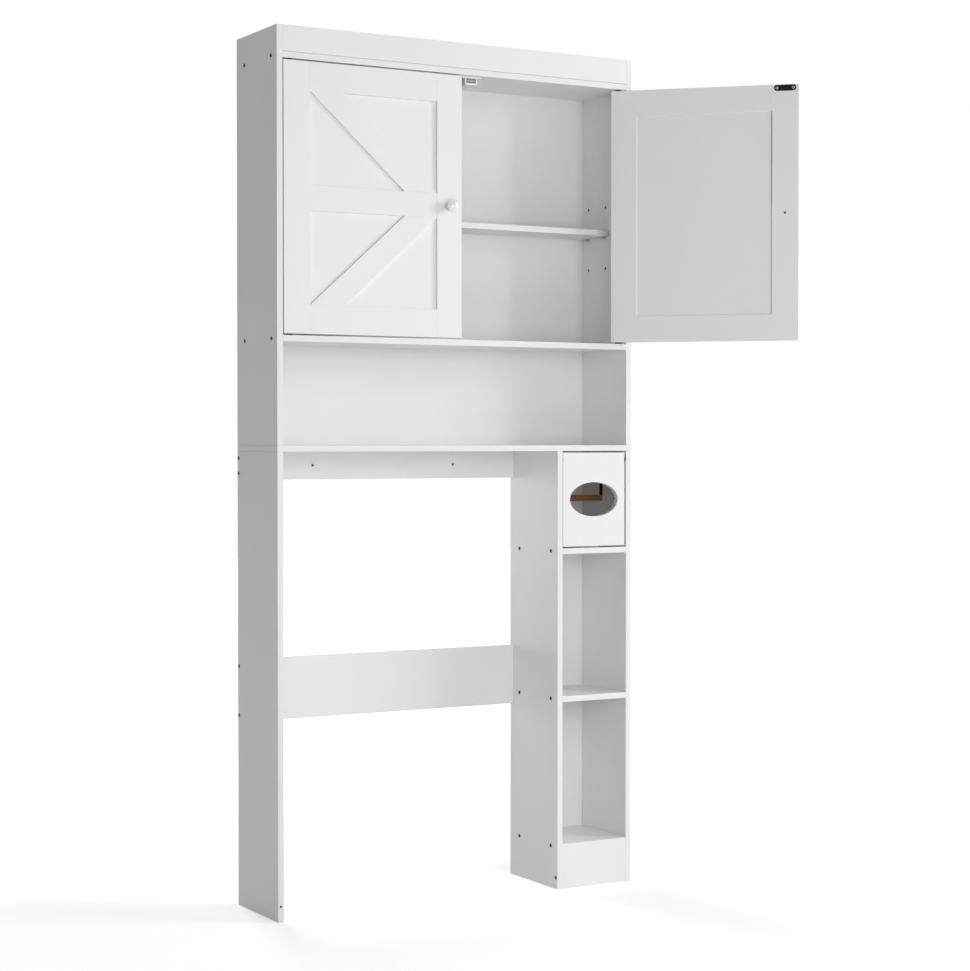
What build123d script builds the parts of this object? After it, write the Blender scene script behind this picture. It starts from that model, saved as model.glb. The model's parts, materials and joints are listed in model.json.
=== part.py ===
from build123d import *
import os
from math import atan2, degrees

os.makedirs("parts", exist_ok=True)

# Over-toilet cabinet on a left leg and a right tower, in millimetres.
# X runs to the right, Y to the back and Z up, from the left leg's front outer corner on the floor.

# Overall sizes
width = 800
depth = 190
board = 12
tower_width = 178

# Clear heights from the floor up, each closed by one board
plinth_height = 92
open_height = 290
roll_height = 198
niche_height = 197
cabinet_height = 523
header_height = 50
header_reveal = 0.4

# Cross rails behind the bay
rail_height = 56
stretcher_height = 123
stretcher_top = 485
wall_hole = 5.5
wall_hole_spacing = 320

# Thin backs, let into grooves
back_board = 3
back_rebate = 18
groove_depth = 5
groove_play = 0.2
shelf_play = 0.2

# Fits: pegs in drilled holes, the space past their ends, and plain blind holes
peg_play = 0.1
tip_play = 1
edge_hole = 4
edge_hole_height = 30
edge_hole_depth = 8
spare_hole = 5
spare_hole_setback = 46
spare_hole_depth = 8

# Adjustable shelf on pins
shelf_setback = 66
shelf_end_play = 0.5
shelf_level = 228
pin_pitch = 64
pin_shank = 5
pin_seat = 8
pin_nose = 7
pin_collar = 8
pin_collar_width = 1
pin_front = 14
pin_back = 24
pin_lift = 0.05

# Framed doors with a mid rail and two braces on a thin panel
door_board = 12
door_side_gap = 2.2
door_end_gap = 3
door_meeting_gap = 2
stile_width = 55
rail_width = 55
middle_rail_width = 48
brace_foot = 72
front_recess = 5.5
door_panel = 3.9
panel_groove = 6
panel_play = 0.2
panel_dish = 0.9
dish_slope = 6.5
back_bevel = 2
strip_reveal = 0.4
open_margin = 3

# Pin pivots for the doors and the flap
pivot_setback = 16
pivot_pin = 4
pivot_skin = 2
pivot_reach = 12
pivot_play = 0.05
bush = 8
bush_length = 15
bush_flange_length = 13
bush_flange_width = 10
flange_play = 0.3
pin_chamfer = 0.5

# Knobs
knob_head = 27
knob_foot = 15
knob_waist = 12
knob_foot_height = 1.2
knob_waist_height = 7
knob_rim_height = 15
knob_rim_width = 4
knob_crown = 4
knob_hole = 5

# Magnetic catches and their strikes
strike_length = 45
strike_height = 12
strike_plate = 1.2
strike_edge = 5
strike_drop = 1
catch_length = 45
catch_block = 27
catch_height = 17
catch_depth = 14
catch_lug = 3.5
catch_gap = 0.4
catch_corner = 1
blade_length = 22
blade_plate = 1.2
blade_depth = 11
blade_show = 0.8
magnet_plate = 5
magnet_play = 0.1

# Roll flap, roll rod and its slots
flap_board = 12
flap_left_gap = 1.2
flap_right_gap = 4.2
flap_top_gap = 3
flap_bottom_gap = 3
flap_pivot_drop = 13.5
flap_flange = 11
oval_length = 116
oval_height = 70
rod = 12
rod_setback = 96
rod_height = 99
rod_slot_play = 0.35
rod_slot_depth = 6
rod_slot_rise = 40
rod_end_play = 0.5
rod_chamfer = 1

# Levels above the floor
floor_bottom = plinth_height - board
shelf_bottom = plinth_height + open_height
shelf_top = shelf_bottom + board
roll_shelf_bottom = shelf_top + open_height
roll_floor = roll_shelf_bottom + board
leg_height = roll_floor + roll_height
deck_top = leg_height + board
cabinet_bottom = deck_top + niche_height
cabinet_floor_top = cabinet_bottom + board
cabinet_top = cabinet_floor_top + cabinet_height
tray_floor = cabinet_top + board
height = tray_floor + header_height
rail_bottom = leg_height - rail_height
stretcher_bottom = stretcher_top - stretcher_height

# Lines across the width and the depth
clear_width = width - 2 * board
right_inner = width - board
tower_left = width - tower_width
tower_inner = tower_left + board
tower_clear = tower_width - 2 * board
bay_width = tower_left - board
back_front = depth - back_rebate - back_board
shelf_depth = back_front - shelf_play
groove_width = back_board + 2 * groove_play
rail_front = depth - board


def save(piece, name):
    piece.part.label = name
    export_step(piece.part, f"parts/{name}.step")


# Cuts round holes of one diameter into the piece being built
def drill(plane, spots, diameter, amount, play=0):
    with BuildSketch(plane) as bores:
        with Locations(*spots):
            Circle(diameter / 2 + play)
    extrude(bores.sketch, amount=amount, mode=Mode.SUBTRACT)


# Adds round pegs of one diameter to the piece being built
def peg(plane, spots, diameter, amount):
    with BuildSketch(plane) as pegs:
        with Locations(*spots):
            Circle(diameter / 2)
    extrude(pegs.sketch, amount=amount)


# Cuts a slot for a thin back into the inner face of a side panel
def back_groove(inner, inward, low, high):
    with BuildSketch(inner) as groove:
        with Locations((back_front - groove_play, low)):
            Rectangle(groove_width, high - low, align=Align.MIN)
    extrude(groove.sketch, amount=-inward * groove_depth, mode=Mode.SUBTRACT)


# Upper side panels
shelf_underside = cabinet_floor_top + shelf_level
pin_level = shelf_underside - pin_lift - pin_shank / 2
pin_rows = (shelf_setback + pin_front, shelf_depth - pin_back)
pin_holes = [(y, pin_level + step * pin_pitch) for y in pin_rows for step in (-1, 0, 1)]
for name, outer_x, inward in (("upper_left_side", 0, 1), ("upper_right_side", width, -1)):
    outer = Plane.YZ.offset(outer_x)
    inner = Plane.YZ.offset(outer_x + inward * board)
    with BuildPart() as side:
        with BuildSketch(outer):
            with Locations((0, deck_top)):
                Rectangle(depth, height - deck_top, align=Align.MIN)
        extrude(amount=inward * board)
        back_groove(inner, inward, deck_top, tray_floor + groove_play)
        drill(inner, pin_holes, pin_shank, -inward * (pin_seat + tip_play), peg_play)
    save(side, name)

# Left leg, with a small hole low in its front edge
with BuildPart() as left_leg:
    with BuildSketch(Plane.YZ):
        Rectangle(depth, leg_height, align=Align.MIN)
    extrude(amount=board)
    drill(Plane.XZ, [(board / 2, edge_hole_height)], edge_hole, -edge_hole_depth)
save(left_leg, "left_leg")

# Tower side panels, each with a slot for one end of the roll rod and a hole for a flap pin
rod_level = roll_floor + rod_height
flap_bottom = roll_floor + flap_bottom_gap
flap_height = roll_height - flap_top_gap - flap_bottom_gap
flap_pivot_level = flap_bottom + flap_height - flap_pivot_drop
flap_pivot_spots = [(flap_board / 2, flap_pivot_level)]
pivot_grip = board - pivot_skin - tip_play
for name, outer_x, inward in (("tower_left_side", tower_left, 1), ("tower_right_side", width, -1)):
    inner = Plane.YZ.offset(outer_x + inward * board)
    with BuildPart() as tower_side:
        with BuildSketch(Plane.YZ.offset(outer_x)):
            Rectangle(depth, leg_height, align=Align.MIN)
        extrude(amount=inward * board)
        back_groove(inner, inward, floor_bottom - groove_play, leg_height)
        with BuildSketch(inner):
            with Locations((rod_setback, rod_level + rod_slot_rise / 2)):
                SlotCenterToCenter(rod_slot_rise, rod + 2 * rod_slot_play, rotation=90)
        extrude(amount=-inward * rod_slot_depth, mode=Mode.SUBTRACT)
        drill(inner, flap_pivot_spots, pivot_pin, -inward * (pivot_grip + tip_play), pivot_play)
        drill(inner, [(spare_hole_setback, rod_level)], spare_hole, -inward * spare_hole_depth)
    save(tower_side, name)


# Starts a level board that runs from a front line to just before the thin back
def level_board(left_x, right_x, front, top):
    with BuildSketch(Plane.XY.offset(top - board)) as outline:
        with Locations((left_x, front)):
            Rectangle(right_x - left_x, shelf_depth - front, align=Align.MIN)
    extrude(outline.sketch, amount=board)


# Starts an upright board that faces the front
def upright_board(left_x, right_x, low, high, front, thickness):
    with BuildSketch(Plane.XZ.offset(-front)) as outline:
        with Locations((left_x, low)):
            Rectangle(right_x - left_x, high - low, align=Align.MIN)
    extrude(outline.sketch, amount=-thickness)


# Doors: sizes, and the planes that their fronts lie on, with x from the hinge edge and y up
door_height = cabinet_height - 2 * door_end_gap
door_width = (clear_width - 2 * door_side_gap - door_meeting_gap) / 2
door_foot = cabinet_floor_top + door_end_gap
pivot_from_edge = pivot_setback - door_side_gap
open_angle = 2 * degrees(atan2(pivot_setback, door_board / 2)) - open_margin
left_pivot_x = board + pivot_setback
right_pivot_x = width - left_pivot_x
pivot_y = door_board / 2
left_door_plane = Plane((board + door_side_gap, 0, door_foot), x_dir=(1, 0, 0), z_dir=(0, -1, 0))
right_door_closed = Plane((right_inner - door_side_gap, 0, door_foot), x_dir=(-1, 0, 0), z_dir=(0, 1, 0))
right_pivot = Vector(right_pivot_x, pivot_y, door_foot)
right_door_plane = Plane(
    right_pivot + (right_door_closed.origin - right_pivot).rotate(Axis.Z, open_angle),
    x_dir=right_door_closed.x_dir.rotate(Axis.Z, open_angle),
    z_dir=right_door_closed.z_dir.rotate(Axis.Z, open_angle),
)

# Catches: places on the boards that carry them
strike_middle = strike_edge + strike_length / 2
left_catch_x = board + door_side_gap + door_width - strike_middle
right_catch_x = width - left_catch_x
flap_left = tower_inner + flap_left_gap
flap_width = tower_clear - flap_left_gap - flap_right_gap
flap_catch_x = flap_left + flap_width / 2

# Deck board, between the upper side panels and the leg and tower
with BuildPart() as deck_board:
    with BuildSketch(Plane.XY.offset(leg_height)):
        Rectangle(width, depth, align=Align.MIN)
    extrude(amount=board)
save(deck_board, "deck_board")

# Cabinet floor and top board, which hold the door pins
door_pin_spots = [(left_pivot_x, pivot_y), (right_pivot_x, pivot_y)]
with BuildPart() as cabinet_floor:
    level_board(board, right_inner, 0, cabinet_floor_top)
    drill(Plane.XY.offset(cabinet_floor_top), door_pin_spots, pivot_pin, -pivot_grip - tip_play, pivot_play)
save(cabinet_floor, "cabinet_floor")

with BuildPart() as top_board:
    level_board(board, right_inner, 0, tray_floor)
    drill(Plane.XY.offset(cabinet_top), door_pin_spots, pivot_pin, pivot_grip + tip_play, pivot_play)
save(top_board, "top_board")

# Header board, a fine line above the top board
with BuildPart() as header_board:
    upright_board(board, right_inner, tray_floor + header_reveal, height, 0, board)
save(header_board, "header_board")

# Thin backs
groove_bite = groove_depth - groove_play
back_right = right_inner + groove_bite
with BuildPart() as upper_back:
    upright_board(board - groove_bite, back_right, deck_top, tray_floor, back_front, back_board)
save(upper_back, "upper_back")

with BuildPart() as tower_back:
    upright_board(tower_inner - groove_bite, back_right, floor_bottom, leg_height, back_front, back_board)
save(tower_back, "tower_back")

# Adjustable shelf and its pins
shelf_side_gap = pin_collar_width + shelf_end_play
shelf_left = board + shelf_side_gap
with BuildPart() as adjustable_shelf:
    level_board(shelf_left, right_inner - shelf_side_gap, shelf_setback, shelf_underside + board)
save(adjustable_shelf, "adjustable_shelf")

pin_spots = [(y, pin_level) for y in pin_rows]
with BuildPart() as shelf_pins:
    for inner_x, inward in ((board, 1), (right_inner, -1)):
        inner = Plane.YZ.offset(inner_x)
        peg(inner, pin_spots, pin_shank, -inward * pin_seat)
        peg(inner, pin_spots, pin_collar, inward * pin_collar_width)
        peg(inner, pin_spots, pin_shank, inward * pin_nose)
save(shelf_pins, "shelf_pins")

# Tower boards: the lowest one ends behind the plinth
for name, front, top in (
    ("tower_floor", board, plinth_height),
    ("tower_shelf", 0, shelf_top),
    ("roll_shelf", 0, roll_floor),
):
    with BuildPart() as tower_board:
        level_board(tower_inner, right_inner, front, top)
    save(tower_board, name)

with BuildPart() as plinth:
    upright_board(tower_inner, right_inner, 0, plinth_height, 0, board)
save(plinth, "plinth")

# Cross rails behind the bay: the upper one has the two wall holes
wall_hole_middle = board + bay_width / 2
wall_hole_level = leg_height - rail_height / 2
wall_hole_spots = [(wall_hole_middle + side * wall_hole_spacing / 2, wall_hole_level) for side in (-1, 1)]
with BuildPart() as wall_rail:
    upright_board(board, tower_left, rail_bottom, leg_height, rail_front, board)
    drill(Plane.XZ.offset(-rail_front), wall_hole_spots, wall_hole, -board)
save(wall_rail, "wall_rail")

with BuildPart() as lower_stretcher:
    upright_board(board, tower_left, stretcher_bottom, stretcher_top, rail_front, board)
save(lower_stretcher, "lower_stretcher")

# Pins that the doors and the flap turn on
pin_run = pivot_grip + door_end_gap + pivot_reach
for name, pivot_x in (("left_door_pins", left_pivot_x), ("right_door_pins", right_pivot_x)):
    with BuildPart() as door_pins:
        peg(Plane.XY.offset(cabinet_floor_top - pivot_grip), [(pivot_x, pivot_y)], pivot_pin, pin_run)
        peg(Plane.XY.offset(cabinet_top + pivot_grip), [(pivot_x, pivot_y)], pivot_pin, -pin_run)
        chamfer(door_pins.edges().filter_by(GeomType.CIRCLE), pin_chamfer)
    save(door_pins, name)

with BuildPart() as flap_pins:
    left_pin_run = pivot_grip + flap_left_gap + pivot_reach
    right_pin_run = pivot_grip + flap_right_gap + pivot_reach
    peg(Plane.YZ.offset(tower_inner - pivot_grip), flap_pivot_spots, pivot_pin, left_pin_run)
    peg(Plane.YZ.offset(right_inner + pivot_grip), flap_pivot_spots, pivot_pin, -right_pin_run)
    chamfer(flap_pins.edges().filter_by(GeomType.CIRCLE), pin_chamfer)
save(flap_pins, "flap_pins")

# Magnetic catches: a housing with two lugs, and a magnet between two steel blades.
# Rise is -1 where a catch hangs under a board and 1 where it stands on one. Leaf is the thickness of the
# door or flap that closes on it.
catch_places = (
    ("left_door_catch", left_catch_x, cabinet_top, -1, door_board),
    ("right_door_catch", right_catch_x, cabinet_top, -1, door_board),
    ("flap_catch", flap_catch_x, roll_floor, 1, flap_board),
)
stack_height = magnet_plate + 2 * (blade_plate + 2 * magnet_play)
magnet_depth = blade_depth - blade_show


def catch_plane(middle_x, seat, rise, leaf, setback):
    y = leaf + strike_plate + catch_gap + setback
    return Plane((middle_x, y, seat + rise * catch_height / 2), x_dir=(1, 0, 0), z_dir=(0, -1, 0))


for name, middle_x, seat, rise, leaf in catch_places:
    front = catch_plane(middle_x, seat, rise, leaf, blade_show)
    with BuildPart() as catch:
        with BuildSketch(front):
            Rectangle(catch_block, catch_height)
            with Locations((0, -rise * (catch_height - catch_lug) / 2)):
                Rectangle(catch_length, catch_lug)
        extrude(amount=-catch_depth)
        fillet(catch.edges().filter_by(Axis.Z).group_by(Axis.X)[0], catch_corner)
        fillet(catch.edges().filter_by(Axis.Z).group_by(Axis.X)[-1], catch_corner)
        with BuildSketch(front):
            Rectangle(blade_length + 2 * magnet_play, stack_height)
        extrude(amount=-magnet_depth - magnet_play, mode=Mode.SUBTRACT)
    save(catch, name)

with BuildPart() as catch_blades:
    for name, middle_x, seat, rise, leaf in catch_places:
        with BuildSketch(catch_plane(middle_x, seat, rise, leaf, 0)):
            with GridLocations(0, magnet_plate + blade_plate + 2 * magnet_play, 1, 2):
                Rectangle(blade_length, blade_plate)
        extrude(amount=-blade_depth)
save(catch_blades, "catch_blades")

with BuildPart() as catch_magnets:
    for name, middle_x, seat, rise, leaf in catch_places:
        with BuildSketch(catch_plane(middle_x, seat, rise, leaf, blade_show)):
            Rectangle(blade_length, magnet_plate)
        extrude(amount=-magnet_depth)
save(catch_magnets, "catch_magnets")


# Builds one door. Its plane holds the front face; front is 1 where the plane's normal points out of the
# cabinet and -1 where it points in.
def make_door(side, plane, front):
    def face(inset):
        return plane.offset(-front * inset)

    def edge(level):
        middle = plane.from_local_coords((pivot_from_edge, level, -front * door_board / 2))
        return Plane(middle, x_dir=plane.x_dir, z_dir=plane.y_dir)

    free_edge = door_width - stile_width
    field_top = door_height - rail_width
    field_width = free_edge - stile_width
    field_height = field_top - rail_width
    middle = (door_width / 2, door_height / 2)
    rail_low = (door_height - middle_rail_width) / 2
    rail_high = rail_low + middle_rail_width
    knob_spot = (door_width - stile_width / 2, door_height / 2)
    strike_level = door_height - strike_drop - strike_height / 2
    strike_x = door_width - strike_middle

    # A stile or rail, grooved for the panel and bevelled round the field at the back
    def frame_board(x, y, board_width, board_height):
        with BuildSketch(plane) as outline:
            with Locations((x, y)):
                Rectangle(board_width, board_height, align=Align.MIN)
        extrude(outline.sketch, amount=-front * door_board)
        with BuildSketch(face(front_recess - panel_play)) as pocket:
            with Locations(middle):
                Rectangle(field_width + 2 * panel_groove, field_height + 2 * panel_groove)
        extrude(pocket.sketch, amount=-front * (door_panel + 2 * panel_play), mode=Mode.SUBTRACT)
        with BuildSketch(face(door_board)) as bevel:
            with Locations(middle):
                Rectangle(field_width + 2 * back_bevel, field_height + 2 * back_bevel)
        extrude(bevel.sketch, amount=front * back_bevel, taper=45, mode=Mode.SUBTRACT)

    with BuildPart() as hinge_stile:
        frame_board(0, 0, stile_width, door_height)
        drill(edge(0), [(0, 0)], bush, bush_length + tip_play, peg_play)
        drill(edge(door_height), [(0, 0)], bush, -bush_length - tip_play, peg_play)
    save(hinge_stile, f"{side}_door_hinge_stile")

    with BuildPart() as meeting_stile:
        frame_board(free_edge, 0, stile_width, door_height)
        drill(plane, [knob_spot], knob_hole, -front * door_board)
    save(meeting_stile, f"{side}_door_meeting_stile")

    for name, low in (("bottom_rail", 0), ("top_rail", field_top)):
        with BuildPart() as rail:
            frame_board(stile_width, low, field_width, rail_width)
        save(rail, f"{side}_door_{name}")

    # The panel is thinner in the middle, with a shallow slope round its back
    with BuildPart() as panel:
        grip = panel_groove - panel_play
        with BuildSketch(face(front_recess)):
            with Locations(middle):
                Rectangle(field_width + 2 * grip, field_height + 2 * grip)
        extrude(amount=-front * door_panel)
        with BuildSketch(face(front_recess + door_panel)) as dish:
            with Locations(middle):
                Rectangle(field_width, field_height)
        dish_taper = degrees(atan2(dish_slope, panel_dish))
        extrude(dish.sketch, amount=front * panel_dish, taper=dish_taper, mode=Mode.SUBTRACT)
    save(panel, f"{side}_door_panel")

    strip_outlines = (
        (
            "middle_rail",
            (stile_width, rail_low),
            (free_edge, rail_low),
            (free_edge, rail_high),
            (stile_width, rail_high),
        ),
        (
            "upper_brace",
            (stile_width, field_top),
            (stile_width + brace_foot, field_top),
            (free_edge, rail_high),
            (free_edge - brace_foot, rail_high),
        ),
        (
            "lower_brace",
            (stile_width, rail_width),
            (stile_width + brace_foot, rail_width),
            (free_edge, rail_low),
            (free_edge - brace_foot, rail_low),
        ),
    )
    for name, *corners in strip_outlines:
        with BuildPart() as strip:
            with BuildSketch(face(strip_reveal)):
                with BuildLine():
                    Polyline(*corners, close=True)
                make_face()
            extrude(amount=-front * (front_recess - strip_reveal))
        save(strip, f"{side}_door_{name}")

    with BuildPart() as bushes:
        flange = door_end_gap - flange_play
        for level, out in ((0, -1), (door_height, 1)):
            with BuildSketch(edge(level)):
                SlotOverall(bush_flange_length, bush_flange_width)
            extrude(amount=out * flange)
            peg(edge(level), [(0, 0)], bush, -out * bush_length)
            mouth = edge(level + out * flange)
            drill(mouth, [(0, 0)], pivot_pin, -out * (flange + pivot_reach + tip_play), pivot_play)
    save(bushes, f"{side}_door_bushes")

    with BuildPart() as knob:
        seat = plane.from_local_coords((*knob_spot, 0))
        rim_radius = knob_rim_width / 2
        rim_top = knob_rim_height + knob_rim_width
        crown_edge = knob_head / 2 - rim_radius
        crown_radius = (crown_edge**2 + knob_crown**2) / (2 * knob_crown)
        with BuildSketch(Plane(seat, x_dir=plane.x_dir, z_dir=plane.y_dir * -front)):
            with BuildLine():
                foot = Polyline((0, 0), (knob_foot / 2, 0), (knob_foot / 2, knob_foot_height))
                waist = (knob_waist / 2, knob_waist_height)
                neck = ThreePointArc(foot @ 1, waist, (crown_edge, knob_rim_height))
                rim_side = (knob_head / 2, knob_rim_height + rim_radius)
                rim = ThreePointArc(neck @ 1, rim_side, (crown_edge, rim_top))
                crown = RadiusArc(rim @ 1, (0, rim_top + knob_crown), -crown_radius)
                Line(crown @ 1, (0, 0))
            make_face()
        revolve(axis=Axis(seat, plane.z_dir))
    save(knob, f"{side}_door_knob")

    with BuildPart() as strike:
        with BuildSketch(face(door_board)):
            with Locations((strike_x, strike_level)):
                SlotOverall(strike_length, strike_height)
        extrude(amount=-front * strike_plate)
    save(strike, f"{side}_door_strike")


make_door("left", left_door_plane, 1)
make_door("right", right_door_plane, -1)

# Roll flap with its oval opening, bushes and strike
flap_middle = (flap_left + flap_width / 2, flap_bottom + flap_height / 2)
flap_strike_level = flap_bottom + strike_drop + strike_height / 2
flap_back = Plane.XZ.offset(-flap_board)
flap_edges = ((flap_left, 1, flap_left_gap), (flap_left + flap_width, -1, flap_right_gap))
with BuildPart() as roll_flap:
    upright_board(flap_left, flap_left + flap_width, flap_bottom, flap_bottom + flap_height, 0, flap_board)
    with BuildSketch(Plane.XZ):
        with Locations(flap_middle):
            Ellipse(oval_length / 2, oval_height / 2)
    extrude(amount=-flap_board, mode=Mode.SUBTRACT)
    for edge_x, inward, gap in flap_edges:
        drill(Plane.YZ.offset(edge_x), flap_pivot_spots, bush, inward * (bush_length + tip_play), peg_play)
save(roll_flap, "roll_flap")

with BuildPart() as flap_bushes:
    for edge_x, inward, gap in flap_edges:
        edge_plane = Plane.YZ.offset(edge_x)
        flange_width = gap - flange_play
        peg(edge_plane, flap_pivot_spots, flap_flange, -inward * flange_width)
        peg(edge_plane, flap_pivot_spots, bush, inward * bush_length)
        mouth = edge_plane.offset(-inward * flange_width)
        bore_depth = flange_width + pivot_reach + tip_play
        drill(mouth, flap_pivot_spots, pivot_pin, inward * bore_depth, pivot_play)
save(flap_bushes, "flap_bushes")

with BuildPart() as flap_strike:
    with BuildSketch(flap_back):
        with Locations((flap_catch_x, flap_strike_level)):
            SlotOverall(strike_length, strike_height)
    extrude(amount=-strike_plate)
save(flap_strike, "flap_strike")

# Roll rod, lying in the slots of the tower panels
with BuildPart() as roll_rod:
    rod_bite = rod_slot_depth - rod_end_play
    peg(Plane.YZ.offset(tower_inner - rod_bite), [(rod_setback, rod_level)], rod, tower_clear + 2 * rod_bite)
    chamfer(roll_rod.edges().filter_by(GeomType.CIRCLE), rod_chamfer)
save(roll_rod, "roll_rod")
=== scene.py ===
import bpy
import bmesh
import json
import math
from mathutils import Matrix, Vector


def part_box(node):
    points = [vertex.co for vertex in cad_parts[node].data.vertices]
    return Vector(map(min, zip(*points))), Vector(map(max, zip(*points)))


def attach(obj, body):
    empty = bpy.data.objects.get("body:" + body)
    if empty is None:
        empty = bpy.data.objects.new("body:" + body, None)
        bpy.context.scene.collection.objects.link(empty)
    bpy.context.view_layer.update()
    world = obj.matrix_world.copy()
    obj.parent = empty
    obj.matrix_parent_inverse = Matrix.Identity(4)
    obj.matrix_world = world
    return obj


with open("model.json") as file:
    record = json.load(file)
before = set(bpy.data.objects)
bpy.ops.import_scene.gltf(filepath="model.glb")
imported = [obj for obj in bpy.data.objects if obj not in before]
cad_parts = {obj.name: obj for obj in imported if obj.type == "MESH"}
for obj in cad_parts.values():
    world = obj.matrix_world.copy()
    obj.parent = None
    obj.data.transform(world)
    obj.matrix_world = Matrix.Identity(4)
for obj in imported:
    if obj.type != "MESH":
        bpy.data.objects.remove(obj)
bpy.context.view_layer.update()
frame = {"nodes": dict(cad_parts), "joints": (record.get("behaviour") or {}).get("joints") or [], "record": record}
nodes = frame["nodes"]
joints = {joint["name"]: joint for joint in frame["joints"]}
slotOf = {part["node"]: part["material_slot"] for part in frame["record"]["subparts"]}
print("cabinet loaded:", len(nodes), "nodes")


# camera: eye in metres, yaw to the right of straight ahead, pitch above level
cameraSet = {
    "eye": (-1.692, -3.751, 0.911),
    "yaw": 29.75,
    "pitch": -1.13,
    "focalPixels": 2168.0,
    "pictureHeight": 971,
    "sensor": 36.0,
    "farClip": 60.0,
}


def makeCamera(c):
    data = bpy.data.cameras.new("photoCamera")
    data.sensor_fit = "VERTICAL"
    data.sensor_height = c["sensor"]
    data.lens = c["focalPixels"] / c["pictureHeight"] * c["sensor"]
    data.clip_end = c["farClip"]
    camera = bpy.data.objects.new("photoCamera", data)
    camera.location = c["eye"]
    camera.rotation_euler = (math.radians(90 + c["pitch"]), 0, math.radians(-c["yaw"]))
    bpy.context.scene.collection.objects.link(camera)
    bpy.context.scene.camera = camera


makeCamera(cameraSet)
print("camera set")


# node helpers that the finishes share
noiseSpan = (0.25, 0.75)  # where nearly all of a noise lies
mottleStops = (0.35, 0.65)  # where a mottle's two colours stand on its noise


def startFinish(name):
    finish = bpy.data.materials.new(name)
    finish.use_nodes = True
    tree = finish.node_tree
    place = tree.nodes.new("ShaderNodeTexCoord")
    return finish, tree, tree.nodes["Principled BSDF"], place


def stretched(tree, vector, scale):
    mapping = tree.nodes.new("ShaderNodeMapping")
    mapping.inputs["Scale"].default_value = scale
    tree.links.new(vector, mapping.inputs["Vector"])
    return mapping.outputs["Vector"]


def noise(tree, vector, scale, detail=2.0, rough=0.5, distortion=0.0):
    node = tree.nodes.new("ShaderNodeTexNoise")
    node.inputs["Scale"].default_value = scale
    node.inputs["Detail"].default_value = detail
    node.inputs["Roughness"].default_value = rough
    node.inputs["Distortion"].default_value = distortion
    tree.links.new(vector, node.inputs["Vector"])
    return node.outputs["Fac"]


def ramp(tree, value, *stops):
    node = tree.nodes.new("ShaderNodeValToRGB")
    marks = node.color_ramp.elements
    while len(marks) < len(stops):
        marks.new(0.5)
    for mark, (place, colour) in zip(marks, stops):
        mark.position = place
        mark.color = (*colour, 1)
    tree.links.new(value, node.inputs["Fac"])
    return node.outputs["Color"]


def mottled(tree, value, shade, pale, stops=mottleStops):
    return ramp(tree, value, (stops[0], shade), (stops[1], pale))


def spread(tree, value, low, high):
    node = tree.nodes.new("ShaderNodeMapRange")
    node.inputs["From Min"].default_value, node.inputs["From Max"].default_value = noiseSpan
    node.inputs["To Min"].default_value = low
    node.inputs["To Max"].default_value = high
    tree.links.new(value, node.inputs["Value"])
    return node.outputs["Result"]


def bump(tree, value, depth, under=None):
    node = tree.nodes.new("ShaderNodeBump")
    node.inputs["Strength"].default_value = 1
    node.inputs["Distance"].default_value = depth
    tree.links.new(value, node.inputs["Height"])
    if under:
        tree.links.new(under, node.inputs["Normal"])
    return node.outputs["Normal"]


def dress(tree, shader, colour, rough, normal):
    tree.links.new(colour, shader.inputs["Base Color"])
    tree.links.new(rough, shader.inputs["Roughness"])
    tree.links.new(normal, shader.inputs["Normal"])


# how far a point lies inside a board's box, in metres, so that only drilled holes and grooves count
def depthInside(tree, where, low, high):
    fromLow = tree.nodes.new("ShaderNodeVectorMath")
    fromHigh = tree.nodes.new("ShaderNodeVectorMath")
    nearer = tree.nodes.new("ShaderNodeVectorMath")
    sides = tree.nodes.new("ShaderNodeSeparateXYZ")
    fromLow.operation = fromHigh.operation = "SUBTRACT"
    nearer.operation = "MINIMUM"
    fromLow.inputs[1].default_value = low
    fromHigh.inputs[0].default_value = high
    tree.links.new(where, fromLow.inputs[0])
    tree.links.new(where, fromHigh.inputs[1])
    tree.links.new(fromLow.outputs["Vector"], nearer.inputs[0])
    tree.links.new(fromHigh.outputs["Vector"], nearer.inputs[1])
    tree.links.new(nearer.outputs["Vector"], sides.inputs["Vector"])
    depth = sides.outputs["X"]
    for axis in ("Y", "Z"):
        least = tree.nodes.new("ShaderNodeMath")
        least.operation = "MINIMUM"
        tree.links.new(depth, least.inputs[0])
        tree.links.new(sides.outputs[axis], least.inputs[1])
        depth = least.outputs[0]
    return depth


def blended(tree, share, first, second):
    node = tree.nodes.new("ShaderNodeMix")
    node.data_type = "RGBA"
    tree.links.new(share, node.inputs["Factor"])
    tree.links.new(first, node.inputs["A"])
    tree.links.new(second, node.inputs["B"])
    return node.outputs["Result"]


# white melamine: a fine pressed pebble over a barely wavy board, and in the drilled holes dark core chips,
# darkened further as painted shade
melamineLook = {
    "pale": (0.84, 0.84, 0.838),
    "shade": (0.818, 0.818, 0.816),
    "clouds": 5.0,
    "pebble": 1100.0,
    "pebbleDepth": 0.00003,
    "wave": 32.0,
    "waveDepth": 0.00012,
    "glossPatch": 275.0,
    "gloss": (0.38, 0.5),
    # the chips' colours are the board core's brown, darkened into painted shade for the inside of the holes
    "chipAndShadePale": (0.045, 0.033, 0.023),
    "chipAndShadeDark": (0.012, 0.009, 0.007),
    "chipsAndShade": 900.0,
    "skin": (0.00032, 0.0005),  # metres in from the face: still white, and all chips with painted shade
}


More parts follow.
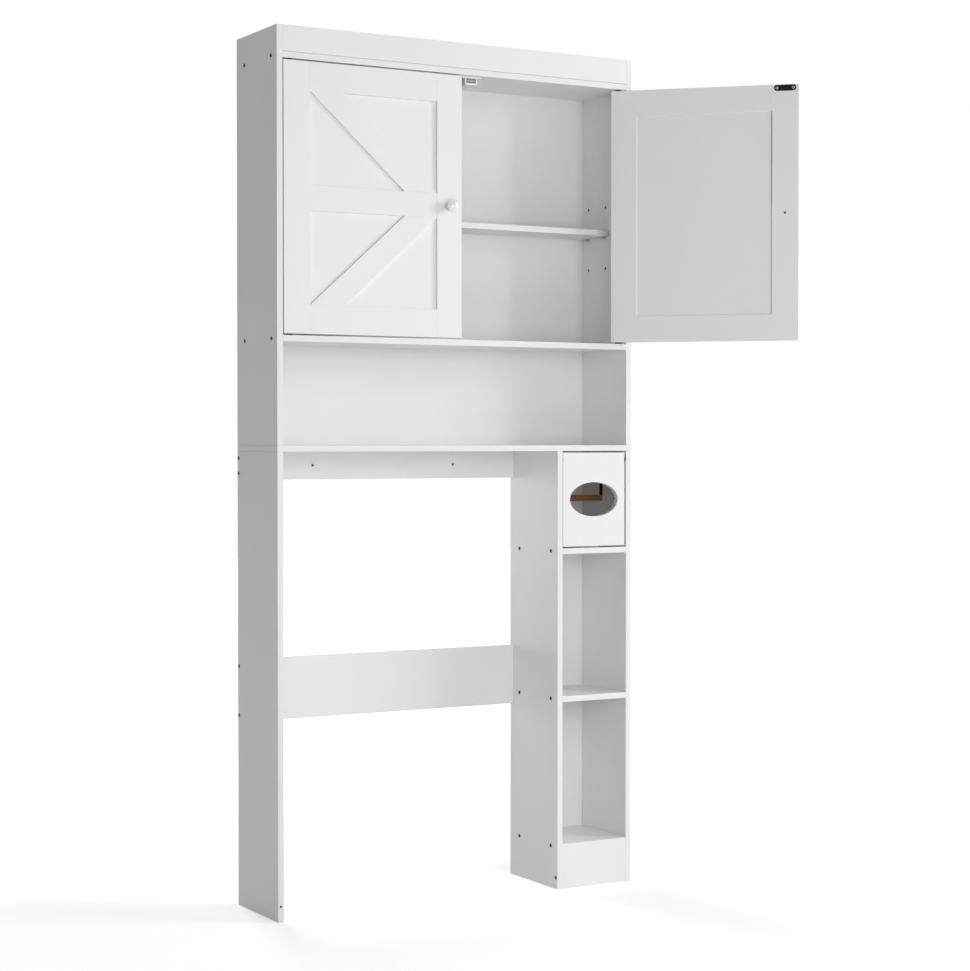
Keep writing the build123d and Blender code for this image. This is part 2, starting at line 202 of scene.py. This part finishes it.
def melamineFinish(name, m, box=None):
    finish, tree, shader, place = startFinish(name)
    where = place.outputs["Object"]
    pebble = noise(tree, where, m["pebble"], detail=1.5)
    wave = bump(tree, noise(tree, where, m["wave"], detail=1), m["waveDepth"])
    colour = mottled(tree, noise(tree, where, m["clouds"], detail=3), m["shade"], m["pale"])
    if box:
        # inside holes and grooves the colour turns to dark chips: core brown with painted shade
        inside = tree.nodes.new("ShaderNodeMapRange")
        inside.inputs["From Min"].default_value, inside.inputs["From Max"].default_value = m["skin"]
        tree.links.new(depthInside(tree, where, *box), inside.inputs["Value"])
        chipsAndShade = mottled(tree, noise(tree, where, m["chipsAndShade"], detail=3), m["chipAndShadeDark"], m["chipAndShadePale"])
        colour = blended(tree, inside.outputs["Result"], colour, chipsAndShade)
    rough = spread(tree, noise(tree, where, m["glossPatch"]), *m["gloss"])
    dress(tree, shader, colour, rough, bump(tree, pebble, m["pebbleDepth"], wave))
    return finish


# painted doors: satin paint with the short upright stipple of a roller
doorLook = {
    "pale": (0.85, 0.85, 0.848),
    "shade": (0.832, 0.832, 0.83),
    "clouds": 6.0,
    "stipple": 520.0,
    "stippleDepth": 0.00004,
    "stretch": (1, 1, 0.35),
    "wave": 24.0,
    "waveDepth": 0.00015,
    "glossPatch": 520.0 / 3,
    "gloss": (0.33, 0.43),
}


def doorFinish(name, m):
    finish, tree, shader, place = startFinish(name)
    where = place.outputs["Object"]
    rolled = stretched(tree, where, m["stretch"])
    stipple = noise(tree, rolled, m["stipple"])
    wave = bump(tree, noise(tree, where, m["wave"], detail=1), m["waveDepth"])
    colour = mottled(tree, noise(tree, rolled, m["clouds"], detail=3), m["shade"], m["pale"])
    rough = spread(tree, noise(tree, rolled, m["glossPatch"]), *m["gloss"])
    dress(tree, shader, colour, rough, bump(tree, stipple, m["stippleDepth"], wave))
    return finish


# thin hardboard: white paper in front, felted fibre on the rear
hardboardLook = {
    "pale": (0.835, 0.835, 0.833),
    "shade": (0.81, 0.81, 0.808),
    "rearPale": (0.74, 0.725, 0.695),
    "rearShade": (0.62, 0.6, 0.565),
    "rearStops": (0.3, 0.62),
    "clouds": 6.0,
    "fibre": 260.0,
    "fibreStretch": (1, 1, 0.22),
    "fibreDepth": 0.00003,
    "gloss": (0.46, 0.58),
}


def hardboardFinish(name, m):
    finish, tree, shader, place = startFinish(name)
    where = place.outputs["Object"]
    drawn = stretched(tree, where, m["fibreStretch"])
    fibre = noise(tree, drawn, m["fibre"], detail=5, rough=0.62, distortion=1.2)
    sides = tree.nodes.new("ShaderNodeSeparateXYZ")
    tree.links.new(place.outputs["Normal"], sides.inputs["Vector"])
    front = mottled(tree, noise(tree, where, m["clouds"], detail=3), m["shade"], m["pale"])
    rear = mottled(tree, fibre, m["rearShade"], m["rearPale"], m["rearStops"])
    colour = blended(tree, sides.outputs["Y"], front, rear)
    rough = spread(tree, fibre, *m["gloss"])
    dress(tree, shader, colour, rough, bump(tree, fibre, m["fibreDepth"]))
    return finish


# lacquered knobs: glossy white over a slightly uneven turning
knobLook = {
    "pale": (0.85, 0.85, 0.845),
    "shade": (0.82, 0.82, 0.812),
    "clouds": 130.0 / 3,
    "wave": 130.0,
    "depth": 0.00006,
    "gloss": (0.16, 0.26),
    "coat": 0.5,
    "coatGloss": 0.08,
}


def knobFinish(name, m):
    finish, tree, shader, place = startFinish(name)
    where = place.outputs["Object"]
    skin = noise(tree, where, m["wave"])
    colour = mottled(tree, noise(tree, where, m["clouds"]), m["shade"], m["pale"])
    dress(tree, shader, colour, spread(tree, skin, *m["gloss"]), bump(tree, skin, m["depth"]))
    shader.inputs["Coat Weight"].default_value = m["coat"]
    shader.inputs["Coat Roughness"].default_value = m["coatGloss"]
    return finish


# brown turned wood: rings drawn out along the rod, with fine dark pores
rodLook = {
    "dark": (0.12, 0.045, 0.016),
    "middle": (0.27, 0.11, 0.038),
    "pale": (0.4, 0.185, 0.07),
    "stops": (0.32, 0.5, 0.68),
    "rings": 900.0,
    "pores": 2700.0,
    "along": (0.03, 1, 1),
    "poreDepth": 0.0001,
    "gloss": (0.42, 0.56),
}


def rodFinish(name, m):
    finish, tree, shader, place = startFinish(name)
    grain = stretched(tree, place.outputs["Object"], m["along"])
    rings = noise(tree, grain, m["rings"], detail=4, rough=0.6, distortion=0.8)
    pores = noise(tree, grain, m["pores"], rough=0.7)
    colour = ramp(tree, rings, *zip(m["stops"], (m["dark"], m["middle"], m["pale"])))
    dress(tree, shader, colour, spread(tree, pores, *m["gloss"]), bump(tree, pores, m["poreDepth"]))
    return finish


# small hardware: one recipe for lacquer, moulded plastic, ferrite and bare or plated steel
hardwareLooks = {
    "steel_pin": {"name": "pinSteel", "pale": (0.68, 0.67, 0.65), "shade": (0.5, 0.49, 0.48),
                  "metal": 1.0, "shine": 0.5, "grain": 1600.0, "stretch": (0.08, 0.08, 1), "depth": 0.000012,
                  "gloss": (0.22, 0.4)},
    "black_strike": {"name": "strikeLacquer", "pale": (0.009, 0.009, 0.0095), "shade": (0.004, 0.004, 0.0045),
                     "metal": 0.0, "shine": 0.1, "grain": 700.0, "stretch": (1, 1, 1), "depth": 0.00003,
                     "gloss": (0.4, 0.56)},
    "black_bush": {"name": "bushNylon", "pale": (0.014, 0.014, 0.015), "shade": (0.007, 0.007, 0.008),
                   "metal": 0.0, "shine": 0.2, "grain": 1200.0, "stretch": (1, 1, 1), "depth": 0.00002,
                   "gloss": (0.5, 0.62)},
    "catch_plastic": {"name": "catchPlastic", "pale": (0.78, 0.78, 0.765), "shade": (0.72, 0.72, 0.705),
                      "metal": 0.0, "shine": 0.5, "grain": 1500.0, "stretch": (1, 1, 1), "depth": 0.00002,
                      "gloss": (0.36, 0.5)},
    "magnet": {"name": "magnetFerrite", "pale": (0.4, 0.4, 0.395), "shade": (0.3, 0.3, 0.295),
               "metal": 0.0, "shine": 0.4, "grain": 900.0, "stretch": (1, 1, 1), "depth": 0.00005,
               "gloss": (0.55, 0.75)},
    "catchBlade": {"name": "bladeSteel", "pale": (0.05, 0.049, 0.048), "shade": (0.025, 0.0245, 0.024),
                   "metal": 1.0, "shine": 0.5, "grain": 1200.0, "stretch": (0.2, 1, 1), "depth": 0.00002,
                   "gloss": (0.45, 0.62)},
    "panelScrew": {"name": "panelScrewSteel", "pale": (0.03, 0.029, 0.028), "shade": (0.012, 0.012, 0.012),
                   "metal": 0.0, "shine": 0.35, "grain": 1500.0, "stretch": (1, 1, 1), "depth": 0.00002,
                   "gloss": (0.45, 0.6)},
    "zincScrew": {"name": "screwZinc", "pale": (0.42, 0.415, 0.4), "shade": (0.26, 0.26, 0.255),
                  "metal": 1.0, "shine": 0.5, "grain": 1800.0, "stretch": (1, 1, 1), "depth": 0.000015,
                  "gloss": (0.3, 0.46)},
}
hardwareStops = (0.3, 0.7)
grainsToPatch = 8


def hardwareFinish(m):
    finish, tree, shader, place = startFinish(m["name"])
    where = stretched(tree, place.outputs["Object"], m["stretch"])
    grain = noise(tree, where, m["grain"], detail=3, rough=0.6)
    patches = noise(tree, place.outputs["Object"], m["grain"] / grainsToPatch)
    colour = mottled(tree, patches, m["shade"], m["pale"], hardwareStops)
    dress(tree, shader, colour, spread(tree, grain, *m["gloss"]), bump(tree, grain, m["depth"]))
    shader.inputs["Metallic"].default_value = m["metal"]
    shader.inputs["Specular IOR Level"].default_value = m["shine"]
    return finish


finishes = {
    "white_board": melamineFinish("boardMelamine", melamineLook),
    "white_back": hardboardFinish("backHardboard", hardboardLook),
    "white_door": doorFinish("doorPaint", doorLook),
    "white_knob": knobFinish("knobLacquer", knobLook),
    "rod_wood": rodFinish("rodWood", rodLook),
}
for key, look in hardwareLooks.items():
    finishes[key] = hardwareFinish(look)
# boards with drilled holes: their holes get the dark chips with painted shade
drilledBoards = (
    "upper_left_side", "upper_right_side", "left_leg", "tower_left_side", "tower_right_side", "wall_rail",
)
ownFinish = {"catch_blades": "catchBlade"}
for board in drilledBoards:
    finishes[board] = melamineFinish("drilledMelamine_" + board, melamineLook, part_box(board))
    ownFinish[board] = board
for name, node in nodes.items():
    node.data.materials.clear()
    node.data.materials.append(finishes[ownFinish.get(name, slotOf[name])])
print("finishes set:", len(finishes))


# softened edges: width in metres for each finish, so that butted boards show their seams
edgeSoft = {
    "white_board": 0.0007,
    "white_back": 0.0003,
    "white_door": 0.00036,
    "black_strike": 0.0003,
    "catch_plastic": 0.0003,
    "steel_pin": 0.0002,
}
squareEdged = ("left_door_pins", "right_door_pins", "flap_pins", "shelf_pins")
edgeSet = {"weld": 0.000005, "flatAngle": 0.5, "cornerAngle": 35, "segments": 2, "faceWeight": 100}


def softenEdges(node, softWidth, e):
    weld = node.modifiers.new("weldCorners", "WELD")
    weld.merge_threshold = e["weld"]
    flat = node.modifiers.new("joinFlats", "DECIMATE")
    flat.decimate_type = "DISSOLVE"
    flat.angle_limit = math.radians(e["flatAngle"])
    soft = node.modifiers.new("softEdge", "BEVEL")
    soft.width = softWidth
    soft.segments = e["segments"]
    soft.limit_method = "ANGLE"
    soft.angle_limit = math.radians(e["cornerAngle"])
    soft.use_clamp_overlap = False
    even = node.modifiers.new("cleanNormals", "WEIGHTED_NORMAL")
    even.weight = e["faceWeight"]


for name, node in nodes.items():
    if slotOf[name] in edgeSoft and name not in squareEdged:
        softenEdges(node, edgeSoft[slotOf[name]], edgeSet)
print("edges softened")


# screws: each head is a stack of rings, from its seat up and down into its drive
ringPoints = 48


def roundRing(radius):
    return lambda angle: radius


def hexRing(flats):
    return lambda angle: flats / 2 / math.cos(angle % math.radians(60) - math.radians(30))


def crossRing(arm, half):
    def reach(angle):
        turn = (angle + math.radians(45)) % math.radians(90) - math.radians(45)
        if abs(math.tan(turn)) < half / arm:
            return arm / math.cos(turn)
        return half / abs(math.sin(turn))
    return reach


def stackRings(mesh, place, rings):
    angles = [2 * math.pi * step / ringPoints for step in range(ringPoints)]
    rows = []
    for reach, level in rings:
        points = [Vector((reach(a) * math.cos(a), reach(a) * math.sin(a), level)) for a in angles]
        rows.append([mesh.verts.new(place @ point) for point in points])
    for low, high in zip(rows, rows[1:]):
        for step in range(ringPoints):
            after = (step + 1) % ringPoints
            mesh.faces.new((low[step], low[after], high[after], high[step]))
    mesh.faces.new(rows[0][::-1])
    mesh.faces.new(rows[-1])


def screwGroup(name, rings, spots, finish, body):
    mesh = bmesh.new()
    for point, out in spots:
        turn = out.to_track_quat("Z", "Y").to_matrix().to_4x4()
        stackRings(mesh, Matrix.Translation(point) @ turn, rings)
    data = bpy.data.meshes.new(name)
    mesh.to_mesh(data)
    mesh.free()
    data.materials.append(finish)
    group = bpy.data.objects.new(name, data)
    bpy.context.scene.collection.objects.link(group)
    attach(group, body)
    return group


# dark socket screws through the side panels into the ends of the boards
panelScrew = {
    "head": 0.0074,
    "rise": 0.0008,
    "sink": 0.001,
    "rim": 0.0003,
    "socket": 0.0038,
    "socketTaper": 0.94,
    "socketFloor": 0.0001,
    "front": 0.026,
    "rear": 0.017,
    "railEnd": 0.013,
    "plinthLevel": 0.023,
}


def levelSpots(board, faceX, out):
    low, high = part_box(board)
    level = (low.z + high.z) / 2
    return [(Vector((faceX, y, level)), out) for y in (panelScrew["front"], high.y - panelScrew["rear"])]


def railSpots(rail, faceX, out):
    low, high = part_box(rail)
    middle = (low.y + high.y) / 2
    levels = (low.z + panelScrew["railEnd"], high.z - panelScrew["railEnd"])
    return [(Vector((faceX, middle, level)), out) for level in levels]


def plinthSpots(faceX, out):
    low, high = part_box("plinth")
    return [(Vector((faceX, (low.y + high.y) / 2, panelScrew["plinthLevel"])), out)]


def makePanelScrews(s):
    toLeft, toRight = Vector((-1, 0, 0)), Vector((1, 0, 0))
    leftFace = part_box("left_leg")[0].x
    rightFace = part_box("tower_right_side")[1].x
    towerFace, towerInner = (corner.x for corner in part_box("tower_left_side"))
    spots = []
    for board in ("cabinet_floor", "top_board"):
        spots += levelSpots(board, leftFace, toLeft) + levelSpots(board, rightFace, toRight)
    for board in ("tower_floor", "tower_shelf", "roll_shelf"):
        spots += levelSpots(board, towerFace, toLeft) + levelSpots(board, rightFace, toRight)
    for rail in ("wall_rail", "lower_stretcher"):
        spots += railSpots(rail, leftFace, toLeft) + railSpots(rail, towerInner, toRight)
    spots += plinthSpots(towerFace, toLeft) + plinthSpots(rightFace, toRight)
    radius = s["head"] / 2
    rings = [
        (roundRing(radius), -s["sink"]),
        (roundRing(radius), s["rise"] - s["rim"]),
        (roundRing(radius - s["rim"]), s["rise"]),
        (hexRing(s["socket"]), s["rise"]),
        (hexRing(s["socket"] * s["socketTaper"]), s["socketFloor"]),
    ]
    screwGroup("panelScrews", rings, spots, finishes["panelScrew"], "carcass")
    return len(spots)


print("panel screws:", makePanelScrews(panelScrew))


# zinc pan heads on the strikes and the catch lugs
panScrew = {
    "head": 0.0058,
    "rise": 0.001,
    "sink": 0.0006,
    "crossArm": 0.0018,
    "crossHalf": 0.0006,
    "crossTaper": 0.8,
    "crossFloor": -0.0003,
    "wall": 0.3,  # share of the rise
    "shoulder": (0.88, 0.75),  # shares of the radius and of the rise
    "crown": 0.68,  # share of the radius
    "strikeSpacing": 0.033,
    "catchSpacing": 0.036,
    "lugThickness": 0.0035,
}


def panRings(s):
    radius = s["head"] / 2
    shoulder, shoulderRise = s["shoulder"]
    taper = s["crossTaper"]
    return [
        (roundRing(radius), -s["sink"]),
        (roundRing(radius), s["rise"] * s["wall"]),
        (roundRing(radius * shoulder), s["rise"] * shoulderRise),
        (roundRing(radius * s["crown"]), s["rise"]),
        (crossRing(s["crossArm"], s["crossHalf"]), s["rise"]),
        (crossRing(s["crossArm"] * taper, s["crossHalf"] * taper), s["crossFloor"]),
    ]


# turns points of the closed right door to where the door stands at rest
def rightDoorTurn():
    hinge = joints["right_door_hinge"]
    pivot = Vector(hinge["pos_m"])
    turn = Matrix.Rotation(math.radians(-hinge["range_deg"][0]), 4, Vector(hinge["axis"]))
    return Matrix.Translation(pivot) @ turn @ Matrix.Translation(-pivot)


# both doors' copies of a spot that is given on the closed left door
def doorSpots(points, out):
    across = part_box("left_leg")[0].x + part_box("tower_right_side")[1].x
    turn = rightDoorTurn()
    mirrored = [Vector((across - p.x, p.y, p.z)) for p in points]
    left = [(p, out) for p in points]
    right = [(turn @ p, turn.to_3x3() @ out) for p in mirrored]
    return {"left": left, "right": right}


def strikePoints(strike, spacing):
    low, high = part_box(strike)
    middle = (low + high) / 2
    return [Vector((middle.x + side * spacing / 2, high.y, middle.z)) for side in (-1, 1)]


def makeStrikeScrews(s):
    inward = Vector((0, 1, 0))
    doors = doorSpots(strikePoints("left_door_strike", s["strikeSpacing"]), inward)
    for side, spots in doors.items():
        screwGroup(f"{side}StrikeScrews", panRings(s), spots, finishes["zincScrew"], f"{side}_door")
    flap = [(p, inward) for p in strikePoints("flap_strike", s["strikeSpacing"])]
    screwGroup("flapStrikeScrews", panRings(s), flap, finishes["zincScrew"], "roll_flap")


def makeCatchScrews(s):
    spots = []
    for catch, rise in (("left_door_catch", -1), ("right_door_catch", -1), ("flap_catch", 1)):
        low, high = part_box(catch)
        middle = (low + high) / 2
        level = low.z + s["lugThickness"] if rise > 0 else high.z - s["lugThickness"]
        for side in (-1, 1):
            point = Vector((middle.x + side * s["catchSpacing"] / 2, middle.y, level))
            spots.append((point, Vector((0, 0, rise))))
    screwGroup("catchScrews", panRings(s), spots, finishes["zincScrew"], "carcass")


makeStrikeScrews(panScrew)
makeCatchScrews(panScrew)
print("strike and catch screws made")


# knob screws: sunk in their holes through the meeting stiles
knobScrew = {
    "head": 0.0047,
    "shank": 0.0036,
    "below": 0.0016,
    "headDepth": 0.002,
    "rim": 0.0004,
    "crown": 0.42,  # share of the head's width
    "crossArm": 0.0015,
    "crossHalf": 0.0004,
}


def makeKnobScrews(s):
    knobLow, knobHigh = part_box("left_door_knob")
    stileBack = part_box("left_door_meeting_stile")[1].y
    middle = (knobLow + knobHigh) / 2
    seat = knobHigh.y - stileBack  # from the stile's inner face out to the knob's foot
    top = -s["below"]
    bottom = top - s["headDepth"]
    rings = [
        (roundRing(s["shank"] / 2), seat),
        (roundRing(s["shank"] / 2), bottom),
        (roundRing(s["head"] / 2), bottom),
        (roundRing(s["head"] / 2), top - s["rim"]),
        (roundRing(s["head"] * s["crown"]), top),
        (crossRing(s["crossArm"], s["crossHalf"]), top),
        (crossRing(s["crossArm"], s["crossHalf"]), top - s["headDepth"] / 2),
    ]
    spots = doorSpots([Vector((middle.x, stileBack, middle.z))], Vector((0, 1, 0)))
    for side, places in spots.items():
        screwGroup(f"{side}KnobScrew", rings, places, finishes["panelScrew"], f"{side}_door")


makeKnobScrews(knobScrew)
print("knob screws made")


# stage: pale floor, white surround and soft lamps
stageSet = {
    "floorSize": 24.0,
    "floorTone": (0.8, 0.8, 0.8, 1),
    "floorRough": 0.9,
    "floorGlow": (0.42, 1.0),  # by the foot, and far off
    "glowReach": (0.7, 3.0),
    "ambient": 0.225,
    "aim": (0.4, 0.1, 0.85),
}
lamps = {
    "keyLamp": {"at": (3.6, -2.2, 1.9), "size": 1.5, "power": 62.0},
    "broadLamp": {"at": (2.3, -3.6, 1.9), "size": 3.2, "power": 10.0},
    "nearLamp": {"at": (0.1, -3.0, 1.0), "size": 1.2, "power": 26.0},
    "leftLamp": {"at": (-2.4, -3.6, 2.0), "size": 1.6, "power": 15.0},
    "bayLamp": {"at": (0.25, 2.2, 0.8), "size": 0.8, "power": 12.5},
    "rearLamp": {"at": (0.4, 3.4, 2.8), "size": 1.2, "power": 36.0},
    "topLamp": {"at": (0.4, 0.6, 4.0), "size": 1.6, "power": 18.0},
}
# a soft pool on the tower's foot, which the broad lamps leave dull
footSpot = {
    "at": (0.75, -2.6, 2.0),
    "aim": (0.7, 0.0, 0.12),
    "radius": 0.25,
    "cone": 14.0,
    "blend": 1.0,
    "power": 50.0,
}


# one where the camera, a mirror or glass looks straight at the surface, else nought
def seenDirectly(tree):
    path = tree.nodes.new("ShaderNodeLightPath")
    seen = path.outputs["Is Camera Ray"]
    for ray in ("Is Glossy Ray", "Is Transmission Ray"):
        either = tree.nodes.new("ShaderNodeMath")
        either.operation = "MAXIMUM"
        tree.links.new(seen, either.inputs[0])
        tree.links.new(path.outputs[ray], either.inputs[1])
        seen = either.outputs[0]
    return seen


def makeFloor(s):
    half = s["floorSize"] / 2
    data = bpy.data.meshes.new("studioFloor")
    corners = [(-half, -half, 0), (half, -half, 0), (half, half, 0), (-half, half, 0)]
    data.from_pydata(corners, [], [(0, 1, 2, 3)])
    floor = bpy.data.objects.new("studioFloor", data)
    floor.location = (s["aim"][0], s["aim"][1], 0)
    bpy.context.scene.collection.objects.link(floor)
    finish, tree, shader, place = startFinish("floorPaper")
    shader.inputs["Base Color"].default_value = s["floorTone"]
    shader.inputs["Roughness"].default_value = s["floorRough"]
    shader.inputs["Specular IOR Level"].default_value = 0
    distance = tree.nodes.new("ShaderNodeVectorMath")
    distance.operation = "LENGTH"
    fade = tree.nodes.new("ShaderNodeMapRange")
    fade.interpolation_type = "SMOOTHSTEP"
    glow = tree.nodes.new("ShaderNodeEmission")
    both = tree.nodes.new("ShaderNodeAddShader")
    choice = tree.nodes.new("ShaderNodeMixShader")
    fade.inputs["From Min"].default_value, fade.inputs["From Max"].default_value = s["glowReach"]
    fade.inputs["To Min"].default_value, fade.inputs["To Max"].default_value = s["floorGlow"]
    tree.links.new(place.outputs["Object"], distance.inputs[0])
    tree.links.new(distance.outputs["Value"], fade.inputs["Value"])
    tree.links.new(fade.outputs["Result"], glow.inputs["Strength"])
    tree.links.new(shader.outputs["BSDF"], both.inputs[0])
    tree.links.new(glow.outputs["Emission"], both.inputs[1])
    tree.links.new(seenDirectly(tree), choice.inputs["Fac"])
    tree.links.new(shader.outputs["BSDF"], choice.inputs[1])
    tree.links.new(both.outputs["Shader"], choice.inputs[2])
    tree.links.new(choice.outputs["Shader"], tree.nodes["Material Output"].inputs["Surface"])
    data.materials.append(finish)


def makeSky(s):
    sky = bpy.data.worlds.new("studioSky")
    bpy.context.scene.world = sky
    sky.use_nodes = True
    tree = sky.node_tree
    glow = tree.nodes["Background"]
    glow.inputs["Color"].default_value = (1, 1, 1, 1)
    level = tree.nodes.new("ShaderNodeMapRange")
    level.inputs["To Min"].default_value = s["ambient"]
    level.inputs["To Max"].default_value = 1
    tree.links.new(seenDirectly(tree), level.inputs["Value"])
    tree.links.new(level.outputs["Result"], glow.inputs["Strength"])


def placeLamp(name, data, at, aim):
    place = bpy.data.objects.new(name, data)
    place.location = at
    place.rotation_euler = (Vector(aim) - Vector(at)).to_track_quat("-Z", "Y").to_euler()
    place.visible_camera = False
    bpy.context.scene.collection.objects.link(place)


def makeLamp(name, lamp, aim):
    data = bpy.data.lights.new(name, "AREA")
    data.size = lamp["size"]
    data.energy = lamp["power"]
    placeLamp(name, data, lamp["at"], aim)


def makeFootSpot(s):
    data = bpy.data.lights.new("footSpot", "SPOT")
    data.shadow_soft_size = s["radius"]
    data.spot_size = math.radians(s["cone"])
    data.spot_blend = s["blend"]
    data.energy = s["power"]
    placeLamp("footSpot", data, s["at"], s["aim"])


makeFloor(stageSet)
makeSky(stageSet)
for name, lamp in lamps.items():
    makeLamp(name, lamp, stageSet["aim"])
makeFootSpot(footSpot)
bpy.context.scene.view_settings.view_transform = "Standard"
print("stage set")
